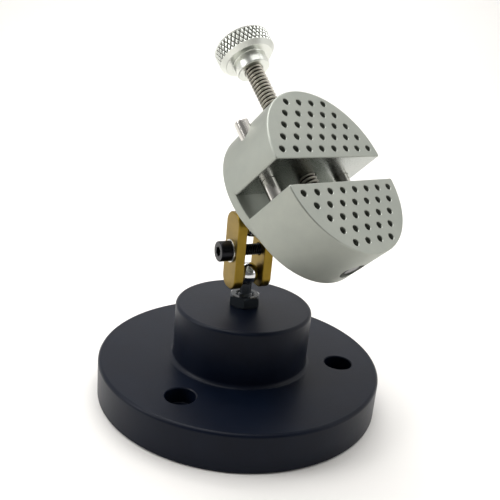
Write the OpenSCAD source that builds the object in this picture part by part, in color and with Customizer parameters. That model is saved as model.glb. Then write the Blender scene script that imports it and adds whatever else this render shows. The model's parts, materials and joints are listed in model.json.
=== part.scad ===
// Ball-jointed holder for watch movements. Millimetres, +Z up.
// Origin: centre of the base's underside. The rest pose is the pose the holder was set to.

/* [Base] */
// Diameter of the base flange
base_d = 100; // [80:1:120]
// Height of the base flange
flange_h = 13.5; // [8:0.5:20]
// Diameter of the drum that stands on the flange
drum_d = 48; // [40:0.5:60]
// Height of the drum top above the bench
drum_top = 33.5; // [25:0.5:45]
// Rounding of the base's upper edges
base_edge_r = 1.2; // [0.5:0.1:2.5]
// Fillet between flange and drum
base_fillet_r = 1.5; // [0.5:0.1:4]
// Pitch circle of the bench screws
bench_pcd = 72; // [60:1:84]
// Number of bench screws
bench_screws = 3; // [3:1:6]
// Angle of the first bench screw round the base
bench_screw_angle = 1; // [-60:1:60]
// Diameter of the bench screw holes
bench_hole_d = 5.5; // [4:0.1:7]
// Diameter of the counterbores
counterbore_d = 10; // [8:0.1:12]
// Depth of the counterbores
counterbore_depth = 5.5; // [3:0.1:7]

/* [Ball joints] */
// Diameter of both steel balls
ball_d = 8; // [6:0.1:12]
// Diameter of the thread on both ball studs
stud_d = 6; // [5:0.5:8]
// Diameter of the neck below each ball
neck_d = 4; // [3:0.1:5]
// Diameter of the pin that carries the ball
ball_pin_d = 2.6; // [2:0.1:3]
// Gap between the lock nut and the lower ball
ball_clear = 3.6; // [1.2:0.1:6]
// Width across flats of both lock nuts
nut_af = 10; // [8:0.5:13]
// Height of both lock nuts
nut_h = 4; // [3:0.1:6]
// Depth of the stud's thread in the base
stud_depth = 14; // [8:0.5:20]

/* [Clamp arm] */
// Distance between the two ball centres
ball_spacing = 17.4; // [16:0.1:40]
// Width of the clamp plates
plate_w = 10; // [8:0.1:14]
// Thickness of the clamp plates
plate_t = 3.4; // [2.5:0.1:6]
// Gap between the clamp plates
plate_gap = 7.2; // [5:0.1:11]
// How far the clamp plates reach past each ball's centre
plate_end = 4.8; // [4:0.1:7]
// Corner radius of the clamp plates
plate_corner_r = 4; // [1:0.1:4.5]
// Edge chamfer of the clamp plates
plate_chamfer = 0.4; // [0.2:0.05:1]
// Diameter of the clamp screw
clamp_screw_d = 4; // [3:0.5:6]
// Thickness of the washer under its head
clamp_washer_t = 0.5; // [0.3:0.1:1]
// How far the clamp screw stands out of the far plate
clamp_screw_stickout = 1.4; // [0:0.1:4]

/* [Vise head] */
// Diameter of the closed vise head
head_d = 48; // [40:0.5:70]
// Height of the jaws above the slot floor
jaw_h = 19.6; // [12:0.1:25]
// Thickness of the slot floor
floor_t = 3.2; // [2.5:0.1:6]
// Slot width at rest
slot_w = 8.3; // [0:0.1:21.9]
// Chamfer of the head's edges
head_chamfer = 0.5; // [0.2:0.05:1.5]
// Distance from the lower face of the head to the upper ball's centre
stud_reach = 18.7; // [14:0.5:30]
// Gap between the moving jaw and the slot floor
jaw_gap = 0.12; // [0.05:0.01:0.3]

/* [Pin holes] */
// Diameter of the holes for movement pins
pin_hole_d = 2.2; // [1:0.1:3]
// Depth of those holes
pin_hole_depth = 7; // [4:0.5:9]
// Distance between neighbouring holes in a row
hole_pitch = 5.7; // [4:0.1:8]
// Distance between neighbouring rows
row_pitch = 4.13; // [3:0.01:6]
// Distance from the slot to the first row
first_row = 3; // [2:0.1:6]
// Holes in the row nearest the slot
first_row_holes = 8; // [4:1:8]
// Rows on each jaw, each with one hole less
hole_rows = 5; // [2:1:5]

/* [Guide pins] */
// Diameter of the guide pins
guide_d = 4.5; // [3:0.1:6]
// Distance between the guide pins
guide_spacing = 34; // [24:0.5:38]
// Depth of pins and lead screw below the jaw face
drive_depth = 12; // [8:0.1:14]
// How deep each pin is pressed into the moving jaw
guide_seat = 12; // [6:0.5:15]
// How far each pin stands in from the slot through the fixed jaw
guide_reach = 20.6; // [14:0.1:28]

/* [Lead screw] */
// Diameter of the lead screw
lead_d = 6; // [4:0.5:8]
// Diameter of its journal in the moving jaw
journal_d = 4; // [3:0.1:5]
// Length of thread between the head and the knob's hub at rest
lead_free = 17.2; // [15:0.1:30]
// Diameter of the pocket that holds the retainer
retainer_pocket_d = 8; // [7:0.1:10]
// Depth of that pocket on the centre line
retainer_pocket_depth = 4; // [3:0.1:6]

/* [Knob] */
// Diameter of the knurled knob
knob_d = 19; // [14:0.5:26]
// Height of the knurled part with its chamfers
knob_h = 7; // [5:0.5:12]
// Diameter of the hub
hub_d = 11.2; // [9:0.1:14]
// Height of the hub
hub_h = 4.1; // [3:0.1:8]
// Chamfer on the hub side of the knob
knob_chamfer = 1.4; // [0.3:0.1:2]

/* [Pose] */
// Turn of the clamp arm about the upright axis
arm_turn = 27.2; // [0:1:359]
// Tilt of the arm about the clamp screw's direction
arm_tilt = 0; // [-45:1:15]
// Tilt of the vise head about the same direction
head_tilt = 43.8; // [-18:0.1:49]
// Sideways lean of the upper stud between the plates
head_lean = 14.4; // [-14.5:0.1:14.5]
// Turn of the vise head on its stud
head_turn = 10.8; // [0:0.1:359]

/* [Hidden] */

$fn = 96;
run_clear = 0.06; // radial clearance of a shaft that turns or slides in its bore
flat_clear = 0.1; // gap between flat faces that turn on each other
cut = 1; // how far a cutting shape runs past the face it opens

ball_r = ball_d / 2;
neck_r = neck_d / 2;
nut_top = drum_top + nut_h;
ball_z = nut_top + ball_clear + ball_r;
ball_flat = sqrt(ball_r * ball_r - neck_r * neck_r) + 0.05; // from the centre to the ball's flat
pin_top = ball_r * 0.4; // how far past the centre the ball's bore goes
neck_cone = 1; // length of the cone between neck and thread

plate_inner = plate_gap / 2;
plate_outer = plate_inner + plate_t;
clamp_head_d = clamp_screw_d * 1.75;
clamp_head_h = clamp_screw_d;
clamp_hex_af = clamp_screw_d * 0.75;
clamp_hex_depth = clamp_screw_d * 0.55;
clamp_washer_d = clamp_screw_d * 2;

head_r = head_d / 2;
floor_z = stud_reach + floor_t;
face_z = floor_z + jaw_h;
drive_z = face_z - drive_depth;
guide_r = guide_d / 2;
lead_r = lead_d / 2;
journal_r = journal_d / 2;
hub_y = head_r + lead_free; // hub face
knob_y = hub_y + hub_h; // knob's inner face
knob_end = knob_y + knob_h;
pocket_y = -slot_w - head_r + retainer_pocket_depth; // floor of the retainer's pocket
retainer_washer_t = 0.8;
retainer_washer_d = retainer_pocket_d - 1;
retainer_screw_d = journal_d * 0.5;
retainer_head_d = retainer_screw_d * 2.6;
retainer_head_h = 2.6;
retainer_screw_depth = 6; // thread length in the journal
set_screw_d = 3;
set_screw_gap = 0.4; // how far the set screw sits below the hub's surface

painted = [0.08, 0.08, 0.1];
plain_steel = [0.6, 0.61, 0.63];
dark_steel = [0.12, 0.12, 0.13];
yellow_zinc = [0.68, 0.58, 0.25];
matt_aluminium = [0.68, 0.7, 0.69];

// ---- Frames ----

// Lower ball's centre, z towards the upper ball, x along the clamp screw
module arm_frame() {
  translate([0, 0, ball_z])
    rotate([0, 0, arm_turn])
      rotate([arm_tilt, 0, 0])
        children();
}

// Upper ball's centre, z along its stud, x along the slot, y towards the knob
module head_frame() {
  arm_frame()
    translate([0, 0, ball_spacing])
      rotate([head_tilt, 0, 0])
        rotate([0, head_lean, 0])
          rotate([0, 0, head_turn])
            children();
}

// A round bar along y, from one y to another
module bar_y(r, from_y, to_y) {
  translate([0, from_y, 0])
    rotate([-90, 0, 0])
      cylinder(r = r, h = to_y - from_y);
}

// A round bar along x, from one x to another
module bar_x(r, from_x, to_x) {
  translate([from_x, 0, 0])
    rotate([0, 90, 0])
      cylinder(r = r, h = to_x - from_x);
}

// A disc with a chamfer on its top and bottom edges
module chamfered_disc(r, h, top, bottom) {
  rotate_extrude()
    polygon([
      [0, 0], [r - bottom, 0], [r, bottom], [r, h - top], [r - top, h], [0, h]
    ]);
}

// ---- Base ----

// Half profile of a disc whose upper edge is rounded
module rounded_step(r, h) {
  difference() {
    square([r, h]);
    translate([r - base_edge_r, h - base_edge_r])
      square(base_edge_r + cut);
  }
  translate([r - base_edge_r, h - base_edge_r])
    circle(base_edge_r);
}

module base_profile() {
  rounded_step(base_d / 2, flange_h);
  rounded_step(drum_d / 2, drum_top);
  difference() {
    translate([drum_d / 2 - cut, flange_h - cut])
      square(base_fillet_r + cut);
    translate([drum_d / 2 + base_fillet_r, flange_h + base_fillet_r])
      circle(base_fillet_r);
  }
}

module base() {
  color(painted)
    difference() {
      rotate_extrude()
        base_profile();
      for (i = [0 : bench_screws - 1])
        rotate([0, 0, bench_screw_angle + i * 360 / bench_screws])
          translate([bench_pcd / 2, 0, 0]) {
            translate([0, 0, -cut])
              cylinder(d = bench_hole_d, h = flange_h + 2 * cut);
            translate([0, 0, flange_h - counterbore_depth])
              cylinder(d = counterbore_d, h = counterbore_depth + cut);
          }
      translate([0, 0, drum_top - stud_depth - cut])
        cylinder(d = stud_d, h = stud_depth + 2 * cut);
    }
}

// ---- Ball studs ----

// A ball at the origin, bored from below for its pin and flattened there
module ball() {
  difference() {
    sphere(r = ball_r);
    translate([0, 0, -ball_r - cut])
      cylinder(d = ball_pin_d + 2 * run_clear, h = ball_r + cut + pin_top);
    translate([-ball_r, -ball_r, -ball_flat - ball_r])
      cube([ball_d, ball_d, ball_r]);
  }
}

// A stud below a ball at the origin: pin, neck, cone and thread, ending at end_z
module stud_below_ball(thread_z, end_z) {
  rotate_extrude()
    polygon([
      [0, end_z],
      [stud_d / 2 - neck_cone / 2, end_z],
      [stud_d / 2, end_z + neck_cone / 2],
      [stud_d / 2, thread_z - neck_cone],
      [neck_r, thread_z],
      [neck_r, -ball_flat - flat_clear],
      [ball_pin_d / 2, -ball_flat - flat_clear],
      [ball_pin_d / 2, pin_top - flat_clear],
      [0, pin_top - flat_clear]
    ]);
}

// A hexagon nut on the z axis with its corners bevelled by a cone above and below
module lock_nut(from_z) {
  corner_r = nut_af / 2 / cos(30);
  bevel = (corner_r - nut_af / 2) * 1.1;
  translate([0, 0, from_z])
    difference() {
      intersection() {
        cylinder(r = corner_r, h = nut_h, $fn = 6);
        chamfered_disc(corner_r + 0.02, nut_h, bevel, bevel);
      }
      translate([0, 0, -cut])
        cylinder(d = stud_d, h = nut_h + 2 * cut);
    }
}

module lower_stud() {
  color(dark_steel)
    translate([0, 0, ball_z])
      stud_below_ball(nut_top - ball_z + neck_cone * 0.4, drum_top - stud_depth - ball_z);
}

module lower_lock_nut() {
  color(dark_steel)
    lock_nut(drum_top);
}

module lower_ball() {
  color(plain_steel)
    translate([0, 0, ball_z])
      ball();
}

// ---- Clamp arm ----

// A straight piece of clamp plate along z with its long edges chamfered
module plate_bar(width, length) {
  half_t = plate_t / 2;
  half_w = width / 2;
  linear_extrude(length)
    polygon([
      [-half_t + plate_chamfer, -half_w], [half_t - plate_chamfer, -half_w],
      [half_t, -half_w + plate_chamfer], [half_t, half_w - plate_chamfer],
      [half_t - plate_chamfer, half_w], [-half_t + plate_chamfer, half_w],
      [-half_t, half_w - plate_chamfer], [-half_t, -half_w + plate_chamfer]
    ]);
}

// A clamp plate without holes: two crossed bars, and a chamfered disc in each corner
module plate_blank() {
  side = plate_w / 2 - plate_corner_r;
  low = plate_corner_r - plate_end;
  high = ball_spacing - low;
  for (y = [-side, side], z = [low, high])
    translate([-plate_t / 2, y, z])
      rotate([0, 90, 0])
        chamfered_disc(plate_corner_r, plate_t, plate_chamfer, plate_chamfer);
  translate([0, 0, low])
    plate_bar(plate_w, high - low);
  translate([0, -side, ball_spacing / 2])
    rotate([-90, 0, 0])
      plate_bar(ball_spacing + 2 * plate_end, 2 * side);
}

// A clamp plate centred on x with its ball seats cut where the balls press
module clamp_plate(centre_x) {
  difference() {
    translate([centre_x, 0, 0])
      plate_blank();
    for (z = [0, ball_spacing])
      translate([0, 0, z])
        sphere(r = ball_r + run_clear);
    translate([0, 0, ball_spacing / 2])
      bar_x(clamp_screw_d / 2 + run_clear, centre_x - plate_t, centre_x + plate_t);
  }
}

module clamp_plate_head_side() {
  color(yellow_zinc)
    arm_frame()
      clamp_plate(-plate_inner - plate_t / 2);
}

module clamp_plate_thread_side() {
  color(yellow_zinc)
    arm_frame()
      clamp_plate(plate_inner + plate_t / 2);
}

module clamp_washer() {
  color(plain_steel)
    arm_frame()
      translate([0, 0, ball_spacing / 2])
        difference() {
          bar_x(clamp_washer_d / 2, -plate_outer - clamp_washer_t, -plate_outer);
          bar_x(clamp_screw_d / 2 + run_clear, -plate_outer - clamp_washer_t - cut, -plate_outer + cut);
        }
}

module clamp_screw() {
  head_x = -plate_outer - clamp_washer_t - flat_clear;
  color(dark_steel)
    arm_frame()
      translate([head_x, 0, ball_spacing / 2])
        difference() {
          rotate([0, 90, 0])
            union() {
              translate([0, 0, -clamp_head_h])
                chamfered_disc(clamp_head_d / 2, clamp_head_h, 0.15, 0.35);
              cylinder(d = clamp_screw_d, h = plate_outer - head_x + clamp_screw_stickout);
            }
          translate([-clamp_head_h - cut, 0, 0])
            rotate([0, 90, 0])
              cylinder(d = clamp_hex_af / cos(30), h = clamp_hex_depth + cut, $fn = 6);
        }
}

// ---- Upper stud ----

module upper_ball() {
  color(plain_steel)
    head_frame()
      rotate([180, 0, 0])
        ball();
}

module upper_stud() {
  color(plain_steel)
    head_frame()
      rotate([180, 0, 0])
        stud_below_ball(nut_h - stud_reach + 2 * neck_cone, -floor_z + neck_cone / 2);
}

module upper_lock_nut() {
  color(dark_steel)
    head_frame()
      lock_nut(stud_reach - nut_h);
}

// ---- Vise head ----

// Everything on one side of the slot: keeps y above zero
module half_space() {
  translate([-head_d, 0, 0])
    cube([2 * head_d, head_d, 2 * face_z]);
}

// Jaw block above the slot floor, slot face at y = 0, with its top slot edge chamfered
module jaw_block(from_z) {
  difference() {
    intersection() {
      translate([0, 0, from_z])
        chamfered_disc(head_r, face_z - from_z, head_chamfer, 0);
      half_space();
    }
    translate([0, 0, face_z])
      rotate([45, 0, 0])
        cube([2 * head_d, head_chamfer * sqrt(2), head_chamfer * sqrt(2)], center = true);
  }
}

// The staggered pin holes of one jaw
module pin_holes() {
  for (row = [0 : hole_rows - 1])
    for (i = [0 : first_row_holes - row - 1])
      translate([
        (i - (first_row_holes - row - 1) / 2) * hole_pitch,
        first_row + row * row_pitch,
        face_z - pin_hole_depth
      ])
        cylinder(d = pin_hole_d, h = pin_hole_depth + cut, $fn = 24);
}

module fixed_jaw() {
  color(matt_aluminium)
    head_frame()
      difference() {
        union() {
          translate([0, 0, stud_reach])
            chamfered_disc(head_r, floor_t, 0, head_chamfer);
          jaw_block(floor_z - floor_t / 2);
        }
        pin_holes();
        for (side = [-1, 1])
          translate([side * guide_spacing / 2, 0, drive_z])
            bar_y(guide_r + run_clear, -cut, head_r + cut);
        translate([0, 0, drive_z])
          bar_y(lead_r + run_clear, -cut, head_r + cut);
        translate([0, 0, stud_reach - cut])
          cylinder(d = stud_d, h = floor_t + 2 * cut);
      }
}

module moving_jaw() {
  color(matt_aluminium)
    head_frame()
      translate([0, -slot_w, 0])
        rotate([0, 0, 180])
          difference() {
            jaw_block(floor_z + jaw_gap);
            pin_holes();
            for (side = [-1, 1])
              translate([side * guide_spacing / 2, 0, drive_z])
                bar_y(guide_r, -cut, guide_seat);
            translate([0, 0, drive_z]) {
              bar_y(journal_r + run_clear, -cut, head_r + cut);
              bar_y(retainer_pocket_d / 2, head_r - retainer_pocket_depth, head_r + cut);
            }
          }
}

// A guide pin with chamfered ends, pressed into the moving jaw
module guide_pin(side) {
  pin_chamfer = 0.5;
  pin_length = guide_reach + slot_w + guide_seat;
  color(plain_steel)
    head_frame()
      translate([side * guide_spacing / 2, guide_reach - pin_length, drive_z])
        rotate([-90, 0, 0])
          chamfered_disc(guide_r, pin_length, pin_chamfer, pin_chamfer);
}

module guide_pin_left() {
  guide_pin(-1);
}

module guide_pin_right() {
  guide_pin(1);
}

// ---- Lead screw and knob ----

// Thread from the slot to the knob, then the journal through the moving jaw
module lead_screw() {
  lead_chamfer = 0.6;
  shoulder_y = -slot_w + flat_clear;
  color(plain_steel)
    head_frame()
      translate([0, 0, drive_z])
        difference() {
          translate([0, shoulder_y, 0])
            rotate([-90, 0, 0])
              union() {
                chamfered_disc(lead_r, knob_end - 1 - shoulder_y, lead_chamfer, lead_chamfer);
                translate([0, 0, pocket_y - flat_clear - shoulder_y])
                  cylinder(r = journal_r, h = shoulder_y - pocket_y + flat_clear + lead_chamfer);
              }
          bar_y(retainer_screw_d / 2, pocket_y - cut, pocket_y + retainer_screw_depth);
        }
}

module retainer_washer() {
  washer_y = pocket_y - flat_clear;
  color(plain_steel)
    head_frame()
      translate([0, 0, drive_z])
        difference() {
          bar_y(retainer_washer_d / 2, washer_y - retainer_washer_t, washer_y);
          bar_y(retainer_screw_d / 2, washer_y - retainer_washer_t - cut, washer_y + cut);
        }
}

module retainer_screw() {
  seat_y = pocket_y - flat_clear - retainer_washer_t;
  color(dark_steel)
    head_frame()
      translate([0, 0, drive_z])
        difference() {
          union() {
            bar_y(retainer_head_d / 2, seat_y - retainer_head_h, seat_y);
            bar_y(retainer_screw_d / 2, seat_y - 0.2, pocket_y + retainer_screw_depth);
          }
          translate([-retainer_head_d, seat_y - retainer_head_h - cut, -0.3])
            cube([2 * retainer_head_d, cut + 0.8, 0.6]);
        }
}

module knob() {
  far_chamfer = 0.8;
  hub_chamfer = 0.4;
  color(matt_aluminium)
    head_frame()
      translate([0, hub_y, drive_z])
        difference() {
          rotate([-90, 0, 0])
            union() {
              chamfered_disc(hub_d / 2, hub_h + knob_chamfer, 0, hub_chamfer);
              translate([0, 0, hub_h])
                chamfered_disc(knob_d / 2, knob_h, far_chamfer, knob_chamfer);
            }
          bar_y(lead_r, -cut, hub_h + knob_h - 1);
          translate([0, hub_h / 2, -hub_d])
            cylinder(d = set_screw_d, h = hub_d);
        }
}

// Hidden in the hub, on the side away from the jaw face
module knob_set_screw() {
  set_screw_l = hub_d / 2 - set_screw_gap - lead_r;
  color(dark_steel)
    head_frame()
      translate([0, hub_y + hub_h / 2, drive_z - lead_r - set_screw_l])
        difference() {
          cylinder(d = set_screw_d, h = set_screw_l);
          translate([0, 0, -cut])
            cylinder(d = 1.5 / cos(30), h = cut + 1.2, $fn = 6);
        }
}

// ---- Nodes ----

base();
lower_stud();
lower_lock_nut();
lower_ball();
clamp_plate_head_side();
clamp_plate_thread_side();
clamp_washer();
clamp_screw();
upper_ball();
upper_stud();
upper_lock_nut();
fixed_jaw();
moving_jaw();
guide_pin_left();
guide_pin_right();
lead_screw();
retainer_washer();
retainer_screw();
knob();
knob_set_screw();
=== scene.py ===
import json
import math
import bpy
import numpy as np
from mathutils import Matrix, Vector
from mathutils.geometry import delaunay_2d_cdt


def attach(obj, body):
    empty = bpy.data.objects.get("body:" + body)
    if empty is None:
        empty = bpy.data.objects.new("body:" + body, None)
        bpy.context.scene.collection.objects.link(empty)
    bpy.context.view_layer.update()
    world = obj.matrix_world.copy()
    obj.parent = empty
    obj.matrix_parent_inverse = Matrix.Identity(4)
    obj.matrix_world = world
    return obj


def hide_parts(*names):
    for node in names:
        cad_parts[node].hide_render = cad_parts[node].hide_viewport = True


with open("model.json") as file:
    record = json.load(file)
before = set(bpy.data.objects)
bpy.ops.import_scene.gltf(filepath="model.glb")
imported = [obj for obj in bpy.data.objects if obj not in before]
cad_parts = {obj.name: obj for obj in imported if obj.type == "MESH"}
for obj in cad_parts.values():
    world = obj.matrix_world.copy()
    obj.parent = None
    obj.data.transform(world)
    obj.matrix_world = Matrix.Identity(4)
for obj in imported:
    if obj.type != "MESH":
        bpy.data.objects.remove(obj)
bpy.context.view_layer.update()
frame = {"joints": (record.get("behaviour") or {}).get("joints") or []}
mm = 0.001
print("frame loaded")


joints = {j["name"]: j for j in frame["joints"]}


def placeFrame(origin, xAxis, zAxis):
    # columns are x, y, z and the origin; y completes a right-handed set
    z = Vector(zAxis).normalized()
    x = (Vector(xAxis) - z * Vector(xAxis).dot(z)).normalized()
    y = z.cross(x)
    turn = Matrix((x, y, z)).transposed()
    return np.array(turn) * mm, np.array(origin)


lowerBall = Vector(joints["arm_tilt"]["pos_m"])
upperBall = Vector(joints["head_tilt"]["pos_m"])
armAxis = Vector(joints["arm_tilt"]["axis"])
studAxis = Vector(joints["head_swivel"]["axis"])
openAxis = Vector(joints["jaw_slide"]["axis"])  # the way the moving jaw opens

basePlace = placeFrame((0, 0, 0), (1, 0, 0), (0, 0, 1))
lowerPlace = placeFrame(lowerBall, (1, 0, 0), (0, 0, 1))
armPlace = placeFrame(lowerBall, armAxis, upperBall - lowerBall)
headPlace = placeFrame(upperBall, (-openAxis).cross(studAxis), studAxis)
ballSpacing = (upperBall - lowerBall).length / mm


def gridPatch(points, normals, wrap=False):
    # rows by columns of points; each cell is two triangles; wrap joins last column to first
    rows, cols = points.shape[:2]
    index = np.arange(rows * cols).reshape(rows, cols)
    if wrap:
        index = np.hstack([index, index[:, :1]])
    a, b = index[:-1, :-1].ravel(), index[:-1, 1:].ravel()
    c, d = index[1:, 1:].ravel(), index[1:, :-1].ravel()
    faces = np.vstack([np.stack([a, b, c], 1), np.stack([a, c, d], 1)])
    return points.reshape(-1, 3), normals.reshape(-1, 3), faces


def roundedPath(corners, steps=6):
    # a polyline through the corners (x, y, radius): a corner with a radius becomes a tangent arc,
    # one without stays sharp and is written twice, once with each side's normal.
    # the normal is the travel direction turned a quarter right
    pts, nrm = [], []
    xy = np.array([c[:2] for c in corners], float)
    way = np.diff(xy, axis=0)
    way /= np.linalg.norm(way, axis=1)[:, None]
    right = lambda d: np.array([d[1], -d[0]])
    pts.append(xy[0])
    nrm.append(right(way[0]))
    for i in range(1, len(corners) - 1):
        before, after, radius = way[i - 1], way[i], corners[i][2]
        turn = math.atan2(before[0] * after[1] - before[1] * after[0], before @ after)
        if radius <= 0:
            pts += [xy[i], xy[i]]
            nrm += [right(before), right(after)]
            continue
        side = math.copysign(1, turn)
        start = xy[i] - before * radius * math.tan(abs(turn) / 2)
        centre = start - side * radius * right(before)
        heading = math.atan2(before[1], before[0]) + turn * np.linspace(0, 1, steps + 1)
        out = np.stack([np.sin(heading), -np.cos(heading)], 1)
        pts += list(centre + side * radius * out)
        nrm += list(out)
    pts.append(xy[-1])
    nrm.append(right(way[-1]))
    return np.array(pts), np.array(nrm)


def revolve(corners, steps=96, arcSteps=6):
    # the path (radius, height) turned about z: x = r cos a, y = r sin a
    pts, nrm = roundedPath(corners, arcSteps)
    a = np.linspace(0, 2 * np.pi, steps, endpoint=False)
    ca, sa = np.cos(a), np.sin(a)
    points = np.stack([np.outer(pts[:, 0], ca), np.outer(pts[:, 0], sa),
                       np.repeat(pts[:, 1:], steps, 1)], 2)
    normals = np.stack([np.outer(nrm[:, 0], ca), np.outer(nrm[:, 0], sa),
                        np.repeat(nrm[:, 1:], steps, 1)], 2)
    return gridPatch(points, normals, wrap=True)


def circle(x, y, radius, steps=48):
    a = np.linspace(0, 2 * np.pi, steps, endpoint=False)
    return np.stack([x + radius * np.cos(a), y + radius * np.sin(a)], 1)


def inLoop(points, loop):
    # even-odd rule: a point is inside when a ray to the right crosses the loop an odd number of times
    x, y = points[:, :1], points[:, 1:]
    ax, ay = loop[:, 0], loop[:, 1]
    bx, by = np.roll(ax, -1), np.roll(ay, -1)
    crosses = (ay > y) != (by > y)
    slope = np.where(by == ay, 1, by - ay)
    return (crosses & (x < ax + (y - ay) * (bx - ax) / slope)).sum(1) % 2 == 1


def sheetTriangles(outline, holes, extra=None):
    # a flat sheet with holes, cut into triangles that keep every outline edge
    loops = [outline] + list(holes)
    edges, start = [], 0
    for loop in loops:
        i = np.arange(len(loop))
        edges += (start + np.stack([i, np.roll(i, -1)], 1)).tolist()
        start += len(loop)
    flat = np.vstack(loops + ([extra] if extra is not None and len(extra) else []))
    verts, _, faces, *_ = delaunay_2d_cdt([Vector(p) for p in flat], edges, [], 0, 1e-7)
    verts = np.array([tuple(v) for v in verts])
    faces = np.array([f for f in faces if len(f) == 3])
    middle = verts[faces].mean(1)
    keep = inLoop(middle, outline)
    for hole in holes:
        keep &= ~inLoop(middle, hole)
    return verts, faces[keep]


def flatPatch(outline, holes, height, up=1):
    # a level face at one height, facing up or down
    verts, faces = sheetTriangles(outline, holes)
    points = np.column_stack([verts, np.full(len(verts), height)])
    return points, np.tile([0, 0, float(up)], (len(points), 1)), faces


def turned(patch, matrix):
    # a patch turned by a 3 by 3 matrix
    points, normals, faces = patch
    m = np.array(matrix, float)
    return points @ m.T, normals @ m.T, faces


def moved(patch, offset):
    points, normals, faces = patch
    return points + np.array(offset, float), normals, faces


alongX = [[0, 0, 1], [1, 0, 0], [0, 1, 0]]  # turns a shape made about z to lie along x
alongY = [[1, 0, 0], [0, 0, 1], [0, -1, 0]]  # and along y


def helixThread(major, depth, pitch, length, steps=48, perPitch=12, endChamfer=0.6):
    # radius = major - depth * v, where v is a rounded 60 degree tooth of height / pitch - angle / turn;
    # near each end the radius is held under a cone
    rows = max(8, int(length / pitch * perPitch))
    z = np.linspace(0, length, rows)[:, None]
    a = np.linspace(0, 2 * np.pi, steps, endpoint=False)[None, :]
    t = (z / pitch - a / (2 * np.pi)) % 1
    tooth = np.abs(2 * t - 1)
    tooth = np.clip((tooth - 0.1) / 0.78, 0, 1)
    tooth = tooth * tooth * (3 - 2 * tooth) * 0.35 + tooth * 0.65
    r = major - depth * (1 - tooth)
    r = np.minimum(r, major - endChamfer + np.minimum(z, length - z))
    points = np.stack([r * np.cos(a), r * np.sin(a), np.broadcast_to(z, r.shape)], 2)
    alongZ = np.gradient(points, axis=0)
    wide = np.concatenate([points[:, -1:], points, points[:, :1]], 1)
    around = (wide[:, 2:] - wide[:, :-2]) / 2
    normals = np.cross(around, alongZ)
    normals /= np.linalg.norm(normals, axis=2)[:, :, None]
    caps = []
    for row, way in ((0, -1), (-1, 1)):
        centre = np.zeros((1, steps, 3))
        centre[:, :, 2] = z[row, 0]
        ring = np.concatenate([centre, points[row:row + 1] if row == 0 else points[-1:]], 0)
        caps.append(gridPatch(ring, np.tile([0, 0, float(way)], (2, steps, 1)), wrap=True))
    return [gridPatch(points, normals, wrap=True)] + caps


def makePiece(name, patches, place, material, body, node, accent=None):
    # welds the patches into one closed mesh, puts it in place and keeps each patch's own normals
    turn, origin = place
    points = np.vstack([p[0] for p in patches]) @ turn.T + origin
    normals = np.vstack([p[1] for p in patches]) @ (turn / mm).T
    offsets = np.cumsum([0] + [len(p[0]) for p in patches[:-1]])
    faces = np.vstack([p[2] + o for p, o in zip(patches, offsets)])
    corner = points[faces]
    facing = np.cross(corner[:, 1] - corner[:, 0], corner[:, 2] - corner[:, 0])
    wrong = np.einsum("ij,ij->i", facing, normals[faces].mean(1)) < 0
    faces[wrong] = faces[wrong][:, ::-1]
    _, first, welded = np.unique(np.round(points / (0.002 * mm)).astype(np.int64), axis=0,
                                 return_index=True, return_inverse=True)
    welded = welded.ravel()
    tri = welded[faces]
    whole = (tri[:, 0] != tri[:, 1]) & (tri[:, 1] != tri[:, 2]) & (tri[:, 2] != tri[:, 0])
    tri, cornerNormals = tri[whole], normals[faces[whole]].reshape(-1, 3)
    mesh = bpy.data.meshes.new(name)
    mesh.vertices.add(len(first))
    mesh.vertices.foreach_set("co", points[first].astype(np.float32).ravel())
    mesh.loops.add(tri.size)
    mesh.loops.foreach_set("vertex_index", tri.ravel().astype(np.int32))
    mesh.polygons.add(len(tri))
    mesh.polygons.foreach_set("loop_start", np.arange(0, tri.size, 3, dtype=np.int32))
    mesh.polygons.foreach_set("use_smooth", np.ones(len(tri), bool))
    mesh.update(calc_edges=True)
    mesh.normals_split_custom_set(cornerNormals.astype(np.float32))
    mesh.materials.append(material)
    if accent:
        # faces the test picks, from their corners in the piece's own frame, take another finish
        finish, picks = accent
        mesh.materials.append(finish)
        local = np.vstack([p[0] for p in patches])[faces[whole]]
        mesh.polygons.foreach_set("material_index", picks(local).astype(np.int32))
    piece = bpy.data.objects.new(name, mesh)
    bpy.context.scene.collection.objects.link(piece)
    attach(piece, body)
    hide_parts(node)
    return piece


def wallFaces(wallY):
    # faces that lie in the plane y = wallY
    return lambda corners: np.abs(corners[:, :, 1] - wallY).max(1) < 0.01


def rootFaces(low, high):
    # faces whose middle lies between two radii of the drive axis
    def picks(corners):
        middle = corners.mean(1)
        radius = np.hypot(middle[:, 0], middle[:, 2] - driveZ)
        return (radius > low) & (radius < high)
    return picks


def colour(hexText):
    # sRGB hex to linear RGBA
    c = np.array([int(hexText[i:i + 2], 16) for i in (1, 3, 5)]) / 255
    linear = np.where(c <= 0.04045, c / 12.92, ((c + 0.055) / 1.055) ** 2.4)
    return (*linear, 1.0)


def addNode(tree, kind, settings=None, links=None):
    # one node with its settings (attributes or input values) and the sockets that feed it
    made = tree.nodes.new(kind)
    for key, value in (settings or {}).items():
        if isinstance(key, str) and hasattr(made, key):
            setattr(made, key, value)
        else:
            made.inputs[key].default_value = value
    for key, source in (links or {}).items():
        tree.links.new(source, made.inputs[key])
    return made


def startMaterial(name):
    material = bpy.data.materials.new(name)
    material.use_nodes = True
    tree = material.node_tree
    tree.nodes.clear()
    output = tree.nodes.new("ShaderNodeOutputMaterial")
    place = tree.nodes.new("ShaderNodeTexCoord").outputs["Object"]
    return material, tree, output, place


def grainScale(sizeMm):
    # noise scale for features of about that size, on coordinates in metres
    return 1 / (sizeMm * mm)


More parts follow.
